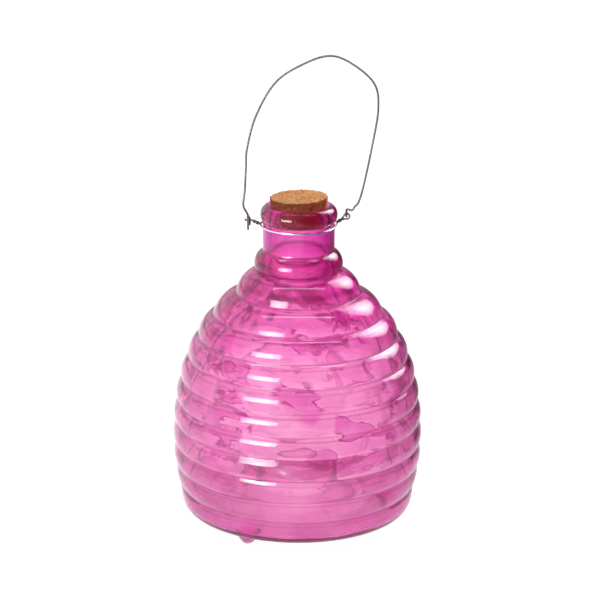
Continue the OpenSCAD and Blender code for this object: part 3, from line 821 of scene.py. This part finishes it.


# Opal acrylic, lit from below as a light table: matt, with light of its own that keeps it white to the
# eye, and for gloss and glass a plain white that grows with the distance, dimmer near the bottle as a
# painted shadow of it, and is lost to the right
def opalAcrylic():
    s = studio
    material, tree = newMaterial("opal_acrylic")
    path = addNode(tree, "LightPath")
    place = addNode(tree, "TexCoord").outputs["Object"]
    grain = addNode(tree, "TexNoise", {"Vector": place, "Scale": perMm / 3, "Detail": 3.0})
    dark, light = s["floorTones"]
    tone = addNode(tree, "Mix", {0: grain.outputs["Fac"], 6: hexColour(dark), 7: hexColour(light)},
                   data_type="RGBA")
    across = addNode(tree, "SeparateXYZ", {0: place}).outputs["X"]
    right = addNode(tree, "MapRange", {"Value": across, "From Min": s["rightSide"][0],
                                       "From Max": s["rightSide"][1]})
    loss = addNode(tree, "MapRange", {"Value": path.outputs["Is Reflection Ray"],
                                      "To Min": s["lossInGlass"], "To Max": s["lossInGloss"]})
    loss = addNode(tree, "Math", {0: right.outputs["Result"], 1: loss.outputs["Result"]},
                   operation="MULTIPLY")
    kept = addNode(tree, "Math", {0: 1.0, 1: loss.outputs[0]}, operation="SUBTRACT")
    # dimmer near the bottle: a painted shadow of the bottle, seen in gloss and glass
    away = addNode(tree, "VectorMath", {0: place}, operation="LENGTH").outputs["Value"]
    level = addNode(tree, "MapRange", {"Value": away, "From Min": s["nearFar"][0],
                                       "From Max": s["nearFar"][1],
                                       "To Min": s["floorNear"], "To Max": s["floorFar"]})
    level = addNode(tree, "Math", {0: kept.outputs[0], 1: level.outputs["Result"]},
                    operation="MULTIPLY")
    bent = addNode(tree, "Math", {0: path.outputs["Is Glossy Ray"],
                                  1: path.outputs["Is Transmission Ray"]}, operation="MAXIMUM")
    glow = addNode(tree, "Math", {0: path.outputs["Is Camera Ray"], 1: s["floorGlow"]},
                   operation="MULTIPLY")
    matt = addNode(tree, "BsdfDiffuse", {"Color": tone.outputs[2]})
    shine = addNode(tree, "Emission", {"Color": (1, 1, 1, 1), "Strength": glow.outputs[0]})
    direct = addNode(tree, "AddShader", {0: matt.outputs[0], 1: shine.outputs[0]})
    through = addNode(tree, "Emission", {"Color": (1, 1, 1, 1), "Strength": level.outputs[0]})
    both = addNode(tree, "MixShader", {0: bent.outputs[0], 1: direct.outputs[0],
                                       2: through.outputs[0]})
    addNode(tree, "OutputMaterial", {"Surface": both.outputs[0]})
    return material


# A flat disc of rings, closed by one many-sided face in the middle
def makeFloor():
    angles = np.linspace(0, 2 * math.pi, studio["floorColumns"], endpoint=False)
    rings = np.array(studio["floorRings"])[:, None]
    points = np.stack([rings * np.cos(angles), rings * np.sin(angles), 0 * rings * angles], -1)
    index = np.arange(rings.size * angles.size).reshape(rings.size, -1)
    inner, outer = index[:-1], index[1:]
    faces = np.stack([inner, outer, np.roll(outer, -1, 1), np.roll(inner, -1, 1)], -1)
    faces = faces.reshape(-1, 4).tolist() + [index[0].tolist()]
    mesh = bpy.data.meshes.new("floor")
    mesh.from_pydata(points.reshape(-1, 3).tolist(), [], faces)
    floor = bpy.data.objects.new("floor", mesh)
    floor.data.materials.append(opalAcrylic())
    scene.collection.objects.link(floor)


# A lamp that only gloss, and where asked matt things, can see, aimed at the bottle's middle
def softbox(name, way, away, size, watts, spread, lightsMatt):
    light = bpy.data.lights.new(name, "AREA")
    light.shape = "RECTANGLE"
    light.size, light.size_y = size
    light.energy = watts
    light.spread = math.radians(spread)
    lamp = bpy.data.objects.new(name, light)
    way = Vector(way).normalized()
    lamp.location = Vector((0, 0, studio["aimHeight"])) + way * away
    lamp.rotation_mode = "QUATERNION"
    lamp.rotation_quaternion = (-way).to_track_quat("-Z", "Y")
    lamp.visible_camera = False
    lamp.visible_transmission = False
    lamp.visible_diffuse = lightsMatt
    scene.collection.objects.link(lamp)


# The room: white to the eye, an even fill for matt things, and for gloss and glass white with a
# dimmer band at the horizon and a dimmer ceiling; in gloss it is bright at the left, dark at the right
def makeRoom():
    s = studio
    world = bpy.data.worlds.new("studio_room")
    scene.world = world
    world.use_nodes = True
    tree = world.node_tree
    tree.nodes.clear()
    path = addNode(tree, "LightPath")
    way = addNode(tree, "SeparateXYZ", {0: addNode(tree, "TexCoord").outputs["Generated"]})
    up = addNode(tree, "MapRange", {"Value": way.outputs["Z"], "From Min": s["roomUp"][0],
                                    "From Max": s["roomUp"][1], "To Min": 1.0, "To Max": s["overhead"]})
    right = addNode(tree, "MapRange", {"Value": way.outputs["X"], "From Min": s["roomRight"][0],
                                       "From Max": s["roomRight"][1],
                                       "To Min": s["leftLevel"], "To Max": s["rightLevel"]})
    sides = addNode(tree, "Mix", {0: path.outputs["Is Reflection Ray"], 2: 1.0,
                                  3: right.outputs["Result"]})
    room = addNode(tree, "Math", {0: up.outputs["Result"], 1: sides.outputs[0]}, operation="MULTIPLY")
    over = addNode(tree, "Math", {0: way.outputs["Z"], 1: s["bandUp"]}, operation="SUBTRACT")
    away = addNode(tree, "Math", {0: over.outputs[0]}, operation="ABSOLUTE")
    band = addNode(tree, "MapRange", {"Value": away.outputs[0], "From Min": s["bandEdge"][0],
                                      "From Max": s["bandEdge"][1],
                                      "To Min": s["bandLevel"], "To Max": 1.0})
    room = addNode(tree, "Math", {0: room.outputs[0], 1: band.outputs["Result"]},
                   operation="MULTIPLY")
    lit = addNode(tree, "Mix", {0: path.outputs["Is Diffuse Ray"], 2: room.outputs[0], 3: s["fill"]})
    seen = addNode(tree, "Mix", {0: path.outputs["Is Camera Ray"], 2: lit.outputs[0], 3: 1.0})
    sky = addNode(tree, "Background", {"Color": (1, 1, 1, 1), "Strength": seen.outputs[0]})
    addNode(tree, "OutputWorld", {"Surface": sky.outputs[0]})


makeFloor()
makeRoom()
for lampName, lampValues in lamps.items():
    softbox(lampName, **lampValues)
print("studio ready:", len(lamps), "lamps")

bpy.context.view_layer.update()
